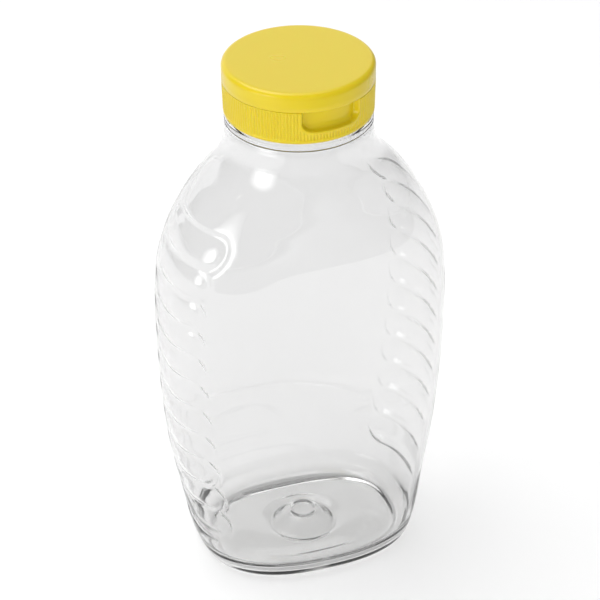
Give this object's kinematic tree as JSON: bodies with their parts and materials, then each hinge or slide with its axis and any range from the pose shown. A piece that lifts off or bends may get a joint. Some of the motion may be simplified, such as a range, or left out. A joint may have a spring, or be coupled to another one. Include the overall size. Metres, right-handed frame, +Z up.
{
  "type": "squeeze bottle with flip-top closure",
  "caption": "Clear oval squeeze bottle for honey, empty, with one-sided grip lobes on its narrow sides and a yellow flip-top closure that hinges open.",
  "frame": {"origin": "centre of the standing ring, on the surface that the bottle stands on", "axes": "+Z up along the bottle's axis, +X across its width, -Y towards the front panel and the closure's thumb recess"},
  "size_m": [0.0816, 0.052, 0.1555],
  "materials": {
    "clear_plastic": "clear, glossy",
    "yellow_plastic": "satin"
  },
  "bodies": {
    "bottle": {"bottle": "clear_plastic", "cap_base": "yellow_plastic"},
    "lid": {"cap_lid": "yellow_plastic"}
  },
  "joints": [
    {"name": "lid_hinge", "type": "hinge", "parent": "bottle", "child": "lid", "pos_m": [-0.00291, 0.0207, 0.15025], "axis": [-0.9903, -0.1392, 0], "range_deg": [0, 180]}
  ]
}
